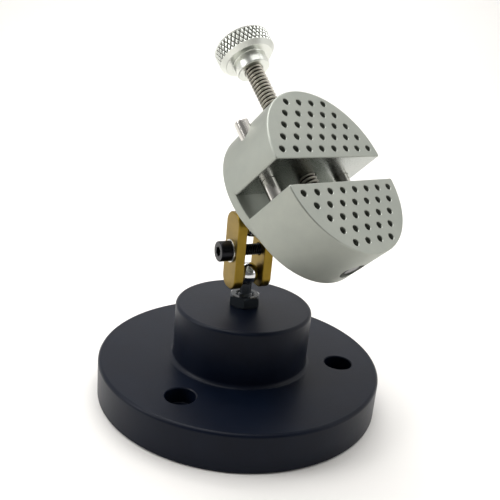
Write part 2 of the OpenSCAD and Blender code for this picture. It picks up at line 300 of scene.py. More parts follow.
def finishMaterial(name, base, second, rough, roughSpread, metallic, grainMm, grainDepthMm,
                   patchMm=12, coat=0, coatRough=0.1, stretch=(1, 1, 1), turn=(0, 0, 0), specular=None):
    # a finish with slow colour drift, roughness drift and a fine grain in the bump
    material, tree, output, place = startMaterial(name)
    mapped = addNode(tree, "ShaderNodeMapping", {"Rotation": turn, "Scale": stretch}, {"Vector": place})
    drift = addNode(tree, "ShaderNodeTexNoise",
                    {"Scale": grainScale(patchMm), "Detail": 5.0, "Roughness": 0.6},
                    {"Vector": place})
    grain = addNode(tree, "ShaderNodeTexNoise",
                    {"Scale": grainScale(grainMm), "Detail": 3.0, "Roughness": 0.65},
                    {"Vector": mapped.outputs["Vector"]})
    ramp = addNode(tree, "ShaderNodeValToRGB", {}, {"Fac": drift.outputs["Fac"]})
    ramp.color_ramp.elements[0].position = 0.32
    ramp.color_ramp.elements[1].position = 0.68
    ramp.color_ramp.elements[0].color = colour(base)
    ramp.color_ramp.elements[1].color = colour(second)
    rough1 = addNode(tree, "ShaderNodeMapRange",
                     {"To Min": rough - roughSpread, "To Max": rough + roughSpread},
                     {"Value": grain.outputs["Fac"]})
    bump = addNode(tree, "ShaderNodeBump", {"Strength": 1.0, "Distance": grainDepthMm * mm},
                   {"Height": grain.outputs["Fac"]})
    shader = addNode(tree, "ShaderNodeBsdfPrincipled",
                     {"Metallic": metallic, "Coat Weight": coat, "Coat Roughness": coatRough},
                     {"Base Color": ramp.outputs["Color"], "Roughness": rough1.outputs["Result"],
                      "Normal": bump.outputs["Normal"]})
    if specular is not None:
        shader.inputs["Specular IOR Level"].default_value = specular
    tree.links.new(shader.outputs["BSDF"], output.inputs["Surface"])
    return material


# bead-blasted aluminium: soft grey, no clear reflections, a fine even tooth
blastedAluminium = finishMaterial("blastedAluminium", "#9fa39c", "#a8aba3", 0.5, 0.05, 1.0, 0.25, 0.012)
# milled aluminium on the slot walls: shinier than the blasted faces, with a fine even grain
milledAluminium = finishMaterial("milledAluminium", "#a4a8a4", "#adb0ab", 0.27, 0.06, 1.0, 0.3, 0.004)
# turned aluminium on the knob: brighter than the jaws, with a soft sheen
turnedAluminium = finishMaterial("turnedAluminium", "#d6d9d2", "#dfe1da", 0.3, 0.05, 1.0, 0.3, 0.004)
# satin black enamel on a turned casting: near black, faint orange peel
blackEnamel = finishMaterial("blackEnamel", "#060c1a", "#08101f", 0.38, 0.04, 0.0, 0.9, 0.012,
                             specular=0.14)
# polished bearing steel: mirror bright with the faintest haze
polishedSteel = finishMaterial("polishedSteel", "#d6d6d6", "#cfd0d2", 0.08, 0.03, 1.0, 0.4, 0.001)
# ground dowel steel: bright, slightly hazy
groundSteel = finishMaterial("groundSteel", "#cfccc6", "#c6c4c0", 0.17, 0.05, 1.0, 0.12, 0.003)
# rolled screw thread in bright steel: slightly hazy crests
threadSteel = finishMaterial("threadSteel", "#c2beb4", "#b5b1a8", 0.3, 0.03, 1.0, 0.5, 0.0006)
# yellow chromate over zinc on steel plate: olive gold, soft sheen
yellowZinc = finishMaterial("yellowZinc", "#856e2b", "#786326", 0.36, 0.07, 1.0, 0.35, 0.008, patchMm=5)
# black oxide on screws: dark with an oily sheen
blackOxide = finishMaterial("blackOxide", "#1b1b1e", "#222226", 0.3, 0.06, 0.9, 0.2, 0.004)
# polished black nut: glossy and almost black
glossyBlack = finishMaterial("glossyBlack", "#33383d", "#3a3f45", 0.2, 0.04, 0.5, 0.3, 0.002)
# painted shade in thread and knurl roots: a nearly matt, dark finish that stands in for the shade there
paintedRootShade = finishMaterial("paintedRootShade", "#3b3833", "#45423c", 0.5, 0.08, 0.8, 0.2, 0.004)
# bright zinc on washers: pale, with a soft shine
brightZinc = finishMaterial("brightZinc", "#c9c9c4", "#bfbfb8", 0.27, 0.05, 1.0, 0.2, 0.004)
print("materials made")


base = {"flangeD": 100, "flangeH": 13.5, "drumD": 48, "drumTop": 33.5, "edge": 1.2, "fillet": 1.5,
        "foot": 0.6, "screws": 3, "screwCircle": 72, "firstScrew": 1, "throughD": 5.5, "boreD": 10,
        "boreDepth": 5.5, "boreEdge": 0.3, "studD": 6}


def baseShape(b):
    # a stepped profile turned about z, with flat rings cut for the bench screws
    rad, tall, e, foot = b["flangeD"] / 2, b["flangeH"], b["edge"], b["foot"]
    r, crown, f, studR = b["drumD"] / 2, b["drumTop"], b["fillet"], b["studD"] / 2
    angles = np.radians(b["firstScrew"] + 360 / b["screws"] * np.arange(b["screws"]))
    centres = b["screwCircle"] / 2 * np.stack([np.cos(angles), np.sin(angles)], 1)
    through, bore, edge = b["throughD"] / 2, b["boreD"] / 2, b["boreEdge"]
    steps = 256
    sink, seen = 0.4, 1.5  # countersink of the stud's bore, and how deep the bore is drawn
    patches = [
        revolve([(rad - foot, 0, 0), (rad, foot, 0), (rad, tall, e), (rad - e, tall, 0)], steps, 8),
        revolve([(r + f, tall, 0), (r, tall, f), (r, crown, e), (r - e, crown, 0)], steps, 8),
        revolve([(r - e, crown, 0), (studR + sink, crown, 0), (studR, crown - sink, 0),
                 (studR, crown - seen, 0), (0, crown - seen, 0)], steps),
        flatPatch(circle(0, 0, rad - e, steps), [circle(0, 0, r + f, steps)]
                  + [circle(x, y, bore + edge, 64) for x, y in centres], tall),
        flatPatch(circle(0, 0, rad - foot, steps), [circle(x, y, through, 64) for x, y in centres], 0, -1),
    ]
    for x, y in centres:
        floor = tall - b["boreDepth"]
        patches.append(moved(revolve([(bore + edge, tall, 0), (bore, tall - edge, 0), (bore, floor, 0.3),
                                      (through, floor, 0.2), (through, 0, 0)], 64, 4), (x, y, 0)))
    return patches


makePiece("base_casting", baseShape(base), basePlace, blackEnamel, "stand", "base")
print("base made")


stud = {"ballD": 8, "neckD": 4, "threadD": 6, "pinD": 2.6, "threadPitch": 1.0, "threadDepth": 0.6}
nut = {"across": 10, "height": 4, "boreD": 6, "bevelAngle": 30, "sink": 0.45}


def ballShape(s):
    # a sphere flattened where the neck meets it
    rad, n = s["ballD"] / 2, s["neckD"] / 2
    low = math.asin(n / rad)
    t = np.linspace(low, np.pi, 72)
    ring = np.stack([rad * np.sin(t), -rad * np.cos(t)], 1)
    a = np.linspace(0, 2 * np.pi, 96, endpoint=False)
    points = np.stack([np.outer(ring[:, 0], np.cos(a)), np.outer(ring[:, 0], np.sin(a)),
                       np.repeat(ring[:, 1:], 96, 1)], 2)
    flatRing = np.stack([n * np.cos(a), n * np.sin(a), np.full(96, ring[0, 1])], 1)[None]
    centre = np.tile([0, 0, ring[0, 1]], (1, 96, 1))
    cap = gridPatch(np.concatenate([centre, flatRing]), np.tile([0, 0, -1.0], (2, 96, 1)), wrap=True)
    return [gridPatch(points, points / rad, wrap=True), cap]


def studShape(s, threadTop, bottom):
    # pin, neck, cone and a threaded shank below a ball at the origin, heights negative
    rad, n, t = s["ballD"] / 2, s["neckD"] / 2, s["threadD"] / 2
    flat = -math.sqrt(rad * rad - n * n) - 0.12
    core = t - s["threadDepth"]
    patches = [revolve([(core, threadTop - 1.1, 0), (t - 0.1, threadTop - 1.0, 0.1), (n, threadTop, 0.4),
                        (n, flat, 0), (s["pinD"] / 2, flat, 0), (s["pinD"] / 2, 0, 0), (0, 0, 0)], 64, 5)]
    length = threadTop - 1.1 - bottom
    thread = helixThread(t, s["threadDepth"], s["threadPitch"], length, 48, 12, 0.6)
    return patches + [moved(p, (0, 0, bottom)) for p in thread]


def nutShape(n):
    # hexagon radius = half the flats / cos(angle from the nearest flat); the bevel is a cone
    # at 30 degrees that starts just inside the flats, and the bore has a small countersink
    half, tall, bore = n["across"] / 2, n["height"], n["boreD"] / 2
    steps = 144
    a = np.linspace(0, 2 * np.pi, steps, endpoint=False)
    fromFlat = (a + np.pi / 6) % (np.pi / 3) - np.pi / 6
    hexR = half / np.cos(fromFlat)
    start = half * 0.96
    drop = (hexR - start) * math.tan(math.radians(n["bevelAngle"]))
    flatAngle = a - fromFlat
    side = np.stack([np.cos(flatAngle), np.sin(flatAngle), np.zeros(steps)], 1)
    # each flat has its own columns, so that its normal stays its own
    ring = lambda r, z: np.stack([r * np.cos(a), r * np.sin(a), np.broadcast_to(z, a.shape)], 1)
    patches = []
    lean = math.radians(n["bevelAngle"])
    for way, zEnd in ((1, tall), (-1, 0)):
        coneNormal = np.stack([np.cos(a) * math.sin(lean), np.sin(a) * math.sin(lean),
                               np.full(steps, way * math.cos(lean))], 1)
        patches.append(gridPatch(np.stack([ring(start, zEnd), ring(hexR, zEnd - way * drop)]),
                                 np.stack([coneNormal, coneNormal]), wrap=True))
        up = np.tile([0, 0, float(way)], (steps, 1))
        patches.append(gridPatch(np.stack([ring(bore + n["sink"], zEnd), ring(start, zEnd)]),
                                 np.stack([up, up]), wrap=True))
    for k in range(6):
        span = np.radians(60 * k) + np.linspace(-np.pi / 6, np.pi / 6, 25)
        r = half / np.cos(span - np.radians(60 * k))
        fall = (r - start) * math.tan(lean)
        flat = np.stack([r * np.cos(span), r * np.sin(span)], 1)
        rows = np.stack([np.column_stack([flat, fall]), np.column_stack([flat, tall - fall])])
        facing = np.tile([math.cos(math.radians(60 * k)), math.sin(math.radians(60 * k)), 0], (2, 25, 1))
        patches.append(gridPatch(rows, facing))
    patches.append(revolve([(bore + n["sink"], tall, 0), (bore, tall - n["sink"], 0),
                            (bore, n["sink"], 0), (bore + n["sink"], 0, 0)], steps))
    return patches


def washerShape(outer, inner, thickness, edge, steps=96):
    rad, r, t, e = outer / 2, inner / 2, thickness, edge
    profile = [(rad - e, 0, 0), (rad, 0, e), (rad, t, e), (r, t, 0), (r, 0, 0), (rad - e, 0, 0)]
    return [revolve(profile, steps, 4)]


drumTop = base["drumTop"]
nutTop = drumTop + nut["height"]
ballHeight = lowerBall.z / mm

makePiece("lower_ball_polished", ballShape(stud), lowerPlace, polishedSteel,
          "lower_ball_turn", "lower_ball")
makePiece("lower_stud_turned", studShape(stud, nutTop - ballHeight + 0.4, drumTop - 1.4 - ballHeight),
          lowerPlace, glossyBlack, "stand", "lower_stud")
makePiece("lower_nut_hex", [moved(p, (0, 0, drumTop)) for p in nutShape(nut)],
          basePlace, glossyBlack, "stand", "lower_lock_nut")
head = {"dia": 48, "reach": 18.7, "floor": 3.2, "jaw": 19.6, "slot": 8.3, "edge": 0.45, "corner": 0.6,
        "driveDepth": 12, "gap": 0.12}
faceZ = head["reach"] + head["floor"] + head["jaw"]
floorZ = head["reach"] + head["floor"]
driveZ = faceZ - head["driveDepth"]
upsideDown = [[1, 0, 0], [0, -1, 0], [0, 0, -1]]

makePiece("upper_ball_polished", [turned(p, upsideDown) for p in ballShape(stud)], headPlace, polishedSteel,
          "upper_ball_turn", "upper_ball")
makePiece("upper_stud_turned",
          [turned(p, upsideDown) for p in studShape(stud, nut["height"] - head["reach"] + 2, 0.5 - floorZ)],
          headPlace, groundSteel, "vise_head", "upper_stud")
makePiece("upper_nut_hex", [moved(p, (0, 0, head["reach"] - nut["height"])) for p in nutShape(nut)],
          headPlace, glossyBlack, "vise_head", "upper_lock_nut")
print("studs, nuts and balls made")


plate = {"width": 10, "thickness": 3.4, "gap": 7.2, "end": 4.8, "corner": 4, "edge": 0.5, "screwD": 4,
         "holeClear": 0.12}
clampScrew = {"dia": 4, "headD": 7, "headH": 4, "hex": 3, "hexDepth": 2.2, "stickout": 1.4, "pitch": 0.7,
              "washerD": 8, "washerT": 0.5}


def plateOutline(p, inset, steps=14):
    # a bar with round corners, counterclockwise in the y z plane: four quarter circles joined by
    # straight sides, all shrunk by inset
    side = p["width"] / 2 - p["corner"]
    low = p["corner"] - p["end"]
    quarter = np.linspace(0, np.pi / 2, steps)
    ring, out = [], []
    high = ballSpacing - low
    for k, (y, z) in enumerate(((side, high), (-side, high), (-side, low), (side, low))):
        way = np.stack([np.cos(quarter + k * np.pi / 2), np.sin(quarter + k * np.pi / 2)], 1)
        ring.append(np.array([y, z]) + (p["corner"] - inset) * way)
        out.append(way)
    return np.vstack(ring), np.vstack(out)


def plateShape(p, inner):
    # the outline swept through the thickness, shrinking along a quarter round at both faces;
    # inner is +1 if the face towards +x is the one that grips the balls
    t, e = p["thickness"], p["edge"]
    rows, normals = [], []
    quarter = np.linspace(0, np.pi / 2, 7)
    lowEdge = [(-t / 2 + e - e * math.cos(q), e - e * math.sin(q), -math.cos(q)) for q in quarter]
    highEdge = [(t / 2 - e + e * math.sin(q), e - e * math.cos(q), math.sin(q)) for q in quarter]
    for depth, inset, lean in lowEdge + highEdge:
        ring, out = plateOutline(p, inset)
        rows.append(np.column_stack([np.full(len(ring), depth), ring]))
        flatness = math.sqrt(max(0, 1 - lean * lean))
        normals.append(np.column_stack([np.full(len(ring), lean), out * flatness]))
    patches = [gridPatch(np.array(rows), np.array(normals), wrap=True)]
    outline = plateOutline(p, e)[0]
    hole = p["screwD"] / 2 + p["holeClear"]
    middle = ballSpacing / 2
    sink = 0.25
    seatR = stud["ballD"] / 2 + 0.06
    seatRim = math.sqrt(seatR ** 2 - (p["gap"] / 2) ** 2)
    for side in (-1, 1):
        holes = [circle(0, middle, hole + sink, 64)]
        if side == inner:
            holes += [circle(0, z, seatRim, 64) for z in (0, ballSpacing)]
        verts, faces = sheetTriangles(outline, holes)
        points = np.column_stack([np.full(len(verts), side * t / 2), verts])
        patches.append((points, np.tile([float(side), 0, 0], (len(points), 1)), faces))
    bore = revolve([(hole + sink, t / 2, 0), (hole, t / 2 - sink, 0), (hole, -t / 2 + sink, 0),
                    (hole + sink, -t / 2, 0)], 64)
    patches.append(moved(turned(bore, alongX), (0, 0, middle)))
    # ball seats: the part of a sphere that reaches below the face
    fall = np.linspace(0, math.asin(seatRim / seatR), 9)
    a = np.linspace(0, 2 * np.pi, 64, endpoint=False)
    dish = np.stack([np.repeat(seatR * np.cos(fall)[:, None], 64, 1) * -inner,
                     np.outer(seatR * np.sin(fall), np.cos(a)),
                     np.outer(seatR * np.sin(fall), np.sin(a))], 2)
    faceX = inner * t / 2
    centreX = faceX + inner * p["gap"] / 2
    for z in (0, ballSpacing):
        points = dish + np.array([centreX, 0, z])
        patches.append(gridPatch(points, -dish / seatR, wrap=True))
    return patches


plateMiddle = plate["gap"] / 2 + plate["thickness"] / 2
plateOuter = plate["gap"] / 2 + plate["thickness"]
for side, name, node in ((-1, "clamp_plate_left", "clamp_plate_head_side"),
                         (1, "clamp_plate_right", "clamp_plate_thread_side")):
    shape = [moved(p, (side * plateMiddle, 0, 0)) for p in plateShape(plate, -side)]
    makePiece(name, shape, armPlace, yellowZinc, "clamp_arm", node)


def hexSocket(across, radius, depth, edge, steps=72):
    # a hexagonal pit in a round end face at height 0, opening up: the rim between hexagon and circle,
    # six walls and a shallow cone floor
    a = np.linspace(0, 2 * np.pi, steps, endpoint=False)
    fromFlat = (a + np.pi / 6) % (np.pi / 3) - np.pi / 6
    hexR = across / 2 / np.cos(fromFlat)
    ring = lambda r, z: np.stack([r * np.cos(a), r * np.sin(a), np.full(steps, float(z))], 1)
    up = np.tile([0, 0, 1.0], (steps, 1))
    lip = np.tile([0, 0, 1.0], (steps, 1)) - np.stack([np.cos(a), np.sin(a), np.zeros(steps)], 1)
    lip /= np.linalg.norm(lip, axis=1)[:, None]
    patches = [gridPatch(np.stack([ring(radius, 0), ring(hexR + edge, 0)]), np.stack([up, up]), wrap=True),
               gridPatch(np.stack([ring(hexR + edge, 0), ring(hexR, -edge)]),
                         np.stack([lip, lip]), wrap=True)]
    for k in range(6):
        span = np.radians(60 * k) + np.linspace(-np.pi / 6, np.pi / 6, 13)
        r = across / 2 / np.cos(span - np.radians(60 * k))
        wall = np.stack([r * np.cos(span), r * np.sin(span)], 1)
        rows = np.stack([np.column_stack([wall, np.full(13, -edge)]),
                         np.column_stack([wall, np.full(13, -depth)])])
        facing = np.tile([-math.cos(math.radians(60 * k)), -math.sin(math.radians(60 * k)), 0], (2, 13, 1))
        patches.append(gridPatch(rows, facing))
    centre = np.tile([0, 0, -depth - 0.3], (steps, 1))
    patches.append(gridPatch(np.stack([ring(hexR, -depth), centre]), np.stack([up, up]), wrap=True))
    return patches


def capScrewShape(s):
    # about z with the head's end face up at z = 0: socket, head, then the threaded shank below it
    rad, tall, shank = s["headD"] / 2, s["headH"], s["dia"] / 2
    length = plateOuter * 2 + s["washerT"] + 0.1 + s["stickout"]
    e = 0.35
    headSide = revolve([(shank - 0.3, -tall, 0), (rad, -tall, 0.15), (rad, 0, e), (rad - e, 0, 0)], 96, 6)
    thread = helixThread(shank - 0.02, 0.38, s["pitch"], length, 40, 10, 0.4)
    socket = hexSocket(s["hex"], rad - e, s["hexDepth"], 0.12)
    return socket + [headSide] + [moved(p, (0, 0, -tall - length)) for p in thread]


headX = -plateOuter - clampScrew["washerT"] - 0.1 - clampScrew["headH"]
towardsHead = [[0, 0, -1], [1, 0, 0], [0, -1, 0]]  # z turned to point along -x
makePiece("clamp_cap_screw",
          [moved(turned(p, towardsHead), (headX, 0, ballSpacing / 2)) for p in capScrewShape(clampScrew)],
          armPlace, blackOxide, "clamp_screw_body", "clamp_screw")
clampRing = washerShape(clampScrew["washerD"], clampScrew["dia"] + 0.3, clampScrew["washerT"], 0.12, 72)
makePiece("clamp_washer_flat",
          [moved(turned(p, alongX), (-plateOuter - clampScrew["washerT"], 0, ballSpacing / 2))
           for p in clampRing],
          armPlace, brightZinc, "clamp_washer_body", "clamp_washer")
print("clamp arm made")


pinHoles = {"dia": 2.2, "depth": 7, "pitch": 5.7, "row": 4.13, "first": 3, "count": 8, "rows": 5,
            "edge": 0.12}
guide = {"dia": 4.5, "spacing": 34, "seat": 12, "reach": 20.6, "clear": 0.06, "edge": 0.5, "rim": 0.2}
lead = {"dia": 6, "pitch": 1.25, "depth": 0.72, "journalD": 4, "free": 17.2, "pocketD": 8,
        "pocketDepth": 4}


def halfDisc(h, inset, chordSteps=48, arcSteps=180, cornerSteps=6):
    # the jaw's outline seen from its face, shrunk by inset: slot edge, corner, rim, corner;
    # corner arcs touch both the slot edge and the rim
    rad, c = h["dia"] / 2, h["corner"]
    centreX = math.sqrt((rad - c) ** 2 - c * c)
    swing = math.atan2(c, centreX)
    small = c - inset
    pts, out = [], []
    x = np.linspace(-centreX, centreX, chordSteps)[:-1]
    pts.append(np.stack([x, np.full(len(x), inset)], 1))
    out.append(np.tile([0.0, -1.0], (len(x), 1)))
    for cx, cy, r, a0, a1, n in ((centreX, c, small, -np.pi / 2, swing, cornerSteps),
                                 (0, 0, rad - inset, swing, np.pi - swing, arcSteps),
                                 (-centreX, c, small, np.pi - swing, 1.5 * np.pi, cornerSteps)):
        a = np.linspace(a0, a1, n)[:-1]
        pts.append(np.stack([cx + r * np.cos(a), cy + r * np.sin(a)], 1))
        out.append(np.stack([np.cos(a), np.sin(a)], 1))
    return np.vstack(pts), np.vstack(out)


def holeCentres(p):
    # staggered rows, each with one hole less than the row before
    rows = [np.stack([(np.arange(p["count"] - r) - (p["count"] - r - 1) / 2) * p["pitch"],
                      np.full(p["count"] - r, p["first"] + r * p["row"])], 1) for r in range(p["rows"])]
    return np.vstack(rows)


def jawWall(h, low, high, bores):
    # the jaw's whole side wall unrolled: distance round the outline by height, with round bores
    # along y cut where they enter the slot side or leave the rim.
    # bores: (x, z, radius, side) with side 0 for the slot face and 1 for the rim
    outline, out = halfDisc(h, 0)
    step = np.linalg.norm(np.roll(outline, -1, 0) - outline, axis=1)
    s = np.r_[0, np.cumsum(step)]
    ring, ringOut = np.vstack([outline, outline[:1]]), np.vstack([out, out[:1]])
    total = s[-1]
    rad = h["dia"] / 2
    startX = outline[0, 0]
    chordEnd = -startX
    swing = math.atan2(h["corner"], chordEnd)
    rimStart = s[47 + 5]
    heights = np.linspace(low, high, 14)
    loops, rims = [], []
    t = np.linspace(0, 2 * np.pi, 56, endpoint=False)
    for x, z, r, side in bores:
        bx, bz = x + r * np.cos(t), z + r * np.sin(t)
        if side == 0:
            along = bx - startX
            place = np.stack([bx, np.zeros_like(bx), bz], 1)
        else:
            along = rimStart + rad * (np.arccos(bx / rad) - swing)
            place = np.stack([bx, np.sqrt(rad * rad - bx * bx), bz], 1)
        loops.append(np.stack([along, bz], 1))
        rims.append(place)
    edgeLoop = np.vstack([np.stack([s, np.full(len(s), low)], 1),
                          np.stack([np.full(len(heights) - 2, total), heights[1:-1]], 1),
                          np.stack([s[::-1], np.full(len(s), high)], 1),
                          np.stack([np.zeros(len(heights) - 2), heights[1:-1][::-1]], 1)])
    inner = np.stack(np.meshgrid(s[1:-1], heights[1:-1]), 2).reshape(-1, 2)
    clear = np.ones(len(inner), bool)
    for loop in loops:
        middle = loop.mean(0)
        away = np.linalg.norm(inner - middle, axis=1)
        clear &= away > np.linalg.norm(loop - middle, axis=1).max() + 0.15
    verts, faces = sheetTriangles(edgeLoop, loops, inner[clear])
    x = np.interp(verts[:, 0], s, ring[:, 0])
    y = np.interp(verts[:, 0], s, ring[:, 1])
    nx = np.interp(verts[:, 0], s, ringOut[:, 0])
    ny = np.interp(verts[:, 0], s, ringOut[:, 1])
    points = np.column_stack([x, y, verts[:, 1]])
    # points on a bore's edge take their true place on the wall
    for loop, place in zip(loops, rims):
        for p, q in zip(loop, place):
            i = np.argmin(np.abs(verts - p).sum(1))
            points[i] = q
            if q[1] > 0:
                nx[i], ny[i] = q[0] / rad, q[1] / rad
    normals = np.column_stack([nx, ny, np.zeros(len(nx))])
    normals /= np.linalg.norm(normals, axis=1)[:, None]
    return (points, normals, faces), rims


def edgeRound(h, z, radius, up, outlineOf=halfDisc, steps=6):
    # the outline shrinks and rises along a quarter circle
    rows, normals = [], []
    for q in np.linspace(0, np.pi / 2, steps + 1):
        ring, out = outlineOf(h, radius * (1 - math.cos(q)))
        rows.append(np.column_stack([ring, np.full(len(ring), z + up * radius * math.sin(q))]))
        normals.append(np.column_stack([out * math.cos(q), np.full(len(ring), up * math.sin(q))]))
    return gridPatch(np.array(rows), np.array(normals), wrap=True)


def pinHolePatches(p, z):
    # each hole: a small edge break, the wall, and a drill point at the bottom
    patches = []
    r, e, depth = p["dia"] / 2, p["edge"], p["depth"]
    one = revolve([(r + e, z, 0), (r, z - e, 0), (r, z - depth, 0), (0, z - depth - r * 0.6, 0)], 24)
    for x, y in holeCentres(p):
        patches.append(moved(one, (x, y, 0)))
    return patches


def boreWall(nearRim, farRim, x, z):
    # straight lines from one edge of a bore to the other, facing the bore's own axis
    rows = np.stack([nearRim, farRim])
    out = np.stack([nearRim[:, 0] - x, np.zeros(len(nearRim)), nearRim[:, 2] - z], 1)
    out /= np.linalg.norm(out, axis=1)[:, None]
    return gridPatch(rows, np.stack([-out, -out]), wrap=True)


def jawFace(h):
    outline = halfDisc(h, h["edge"])[0]
    holes = [circle(x, y, pinHoles["dia"] / 2 + pinHoles["edge"], 24) for x, y in holeCentres(pinHoles)]
    return flatPatch(outline, holes, faceZ)


def fixedJawShape(h):
    # a half disc standing on a full disc: one solid, so the rim runs unbroken behind the slot
    e = h["edge"]
    rad = h["dia"] / 2
    r = guide["dia"] / 2 + guide["clear"]
    sink = guide["rim"]
    leadR = lead["dia"] / 2 + 0.06
    xs = [-guide["spacing"] / 2, guide["spacing"] / 2]
    bores = [(x, driveZ, r + sink, 0) for x in xs] + [(0, driveZ, leadR + sink, 0)]
    bores += [(x, driveZ, r, 1) for x in xs] + [(0, driveZ, leadR, 1)]
    wall, rims = jawWall(h, floorZ, faceZ - e, bores)
    patches = [wall, edgeRound(h, faceZ - e, e, 1), jawFace(h)] + pinHolePatches(pinHoles, faceZ)
    t = np.linspace(0, 2 * np.pi, 56, endpoint=False)
    for i, (x, radius) in enumerate(((xs[0], r), (xs[1], r), (0, leadR))):
        inside = np.stack([x + radius * np.cos(t), np.full(56, sink), driveZ + radius * np.sin(t)], 1)
        lip = np.stack([rims[i], inside])
        facing = np.stack([-np.cos(t), -np.ones(56), -np.sin(t)], 1) / math.sqrt(2)
        patches.append(gridPatch(lip, np.stack([facing, facing]), wrap=True))
        patches.append(boreWall(inside, rims[i + 3], x, driveZ))
    # the disc below: its upper edge is rounded only in front, where the moving jaw slides
    steps = 360
    a = np.linspace(0, 2 * np.pi, steps, endpoint=False)
    front = np.clip((-np.sin(a) * rad - 0.4) / 0.8, 0, 1) * 0.3
    rows, normals = [], []
    for q in np.linspace(0, np.pi / 2, 5):
        rr = rad - e + e * math.sin(q)
        z = h["reach"] + e - e * math.cos(q)
        rows.append(np.stack([rr * np.cos(a), rr * np.sin(a), np.full(steps, z)], 1))
        out = math.sin(q)
        normals.append(np.stack([np.cos(a) * out, np.sin(a) * out, np.full(steps, -math.cos(q))], 1))
    for q in np.linspace(0, np.pi / 2, 5):
        rr = rad - front * (1 - math.cos(q))
        rows.append(np.stack([rr * np.cos(a), rr * np.sin(a), floorZ - front * (1 - math.sin(q))], 1))
        tilt = np.where(front > 0, q, 0)
        normals.append(np.stack([np.cos(a) * np.cos(tilt), np.sin(a) * np.cos(tilt), np.sin(tilt)], 1))
    patches.append(gridPatch(np.array(rows), np.array(normals), wrap=True))
    studHole = stud["threadD"] / 2
    patches.append(flatPatch(circle(0, 0, rad - e, steps), [circle(0, 0, studHole + 0.3, 64)],
                             h["reach"], -1))
    patches.append(revolve([(studHole + 0.3, h["reach"], 0), (studHole, h["reach"] + 0.3, 0),
                            (studHole, floorZ, 0)], 64))
    # the slot floor, between the front rim and the jaw's own foot; the rounded front edge ends
    # where the disc meets the half disc standing on it
    rim = rows[-1][:, :2]
    front = rim[np.sin(a) < 0]
    front = front[np.argsort(front[:, 0])]
    foot = halfDisc(h, 0)[0]
    foot = foot[foot[:, 1] < h["corner"] * 1.02]
    foot = foot[np.argsort(-foot[:, 0])]
    patches.append(flatPatch(np.vstack([front, foot]), [], floorZ))
    return patches


def movingJawShape(h):
    # a half disc block that slides on the floor; guide pins are pressed into its slot side,
    # and the screw's journal runs through to a round pocket in the rim
    e = h["edge"]
    low = floorZ + h["gap"]
    footEdge = 0.25
    r = guide["dia"] / 2 + 0.02
    sink = guide["rim"]
    journal = lead["journalD"] / 2 + 0.06
    pocket = lead["pocketD"] / 2
    xs = [-guide["spacing"] / 2, guide["spacing"] / 2]
    bores = [(x, driveZ, r + sink, 0) for x in xs] + [(0, driveZ, journal + sink, 0), (0, driveZ, pocket, 1)]
    wall, rims = jawWall(h, low + footEdge, faceZ - e, bores)
    patches = [wall, edgeRound(h, faceZ - e, e, 1), edgeRound(h, low + footEdge, footEdge, -1), jawFace(h)]
    patches += pinHolePatches(pinHoles, faceZ)
    patches.append(flatPatch(halfDisc(h, footEdge)[0], [], low, -1))
    t = np.linspace(0, 2 * np.pi, 56, endpoint=False)
    for i, (x, radius, depth) in enumerate(((xs[0], r, guide["seat"]), (xs[1], r, guide["seat"]),
                                            (0, journal, h["dia"] / 2 - lead["pocketDepth"]))):
        ring = lambda rr, y: np.stack([x + rr * np.cos(t), np.full(56, float(y)), driveZ + rr * np.sin(t)], 1)
        facing = np.stack([-np.cos(t), -np.ones(56), -np.sin(t)], 1) / math.sqrt(2)
        patches.append(gridPatch(np.stack([rims[i], ring(radius, sink)]),
                                 np.stack([facing, facing]), wrap=True))
        patches.append(boreWall(ring(radius, sink), ring(radius, depth), x, driveZ))
        if i < 2:
            down = np.tile([0, -1.0, 0], (2, 56, 1))
            patches.append(gridPatch(np.stack([ring(radius, depth), ring(0, depth)]), down, wrap=True))
    floorY = h["dia"] / 2 - lead["pocketDepth"]
    ring = lambda rr: np.stack([rr * np.cos(t), np.full(56, floorY), driveZ + rr * np.sin(t)], 1)
    patches.append(boreWall(ring(pocket), rims[3], 0, driveZ))
    up = np.tile([0, 1.0, 0], (2, 56, 1))
    patches.append(gridPatch(np.stack([ring(journal), ring(pocket)]), up, wrap=True))
    return patches


makePiece("fixed_jaw_block", fixedJawShape(head), headPlace, blastedAluminium,
          "vise_head", "fixed_jaw", (milledAluminium, wallFaces(0)))
halfTurn = [[-1, 0, 0], [0, -1, 0], [0, 0, 1]]
makePiece("moving_jaw_block",
          [moved(turned(p, halfTurn), (0, -head["slot"], 0)) for p in movingJawShape(head)],
          headPlace, blastedAluminium, "jaw_carriage", "moving_jaw",
          (milledAluminium, wallFaces(-head["slot"])))
print("jaws made")


pinLength = guide["reach"] + head["slot"] + guide["seat"] - 0.1
for side, name in ((-1, "guide_pin_left"), (1, "guide_pin_right")):
    pinR = guide["dia"] / 2
    shape = revolve([(0, 0, 0), (pinR, 0, 0.4), (pinR, pinLength, guide["edge"]), (0, pinLength, 0)], 72, 6)
    makePiece(name + "_ground",
              [moved(turned(shape, alongY),
                     (side * guide["spacing"] / 2, guide["reach"] - pinLength, driveZ))],
              headPlace, groundSteel, "jaw_carriage", name)

knob = {"dia": 19, "height": 7, "hubD": 11.2, "hubH": 4.1, "chamfer": 1.4, "farChamfer": 0.8,
        "knurlPitch": 1.55, "knurlDepth": 0.38}
hubY = head["dia"] / 2 + lead["free"]


def leadScrewShape(l):
    # the thread from the slot to just inside the knob, then the plain journal through the jaw
    start = -head["slot"] + 0.1
    end = hubY + 3
    thread = helixThread(l["dia"] / 2, l["depth"], l["pitch"], end - start, 56, 14, 0.7)
    patches = [moved(turned(p, alongY), (0, start, driveZ)) for p in thread]
    pocketFloor = -head["slot"] - head["dia"] / 2 + l["pocketDepth"]
    long, journalR = start - pocketFloor + 0.6, l["journalD"] / 2
    journal = revolve([(0, 0, 0), (journalR, 0, 0.1), (journalR, long, 0), (0, long, 0)], 56, 3)
    patches.append(moved(turned(journal, alongY), (0, pocketFloor - 0.1, driveZ)))
    return patches


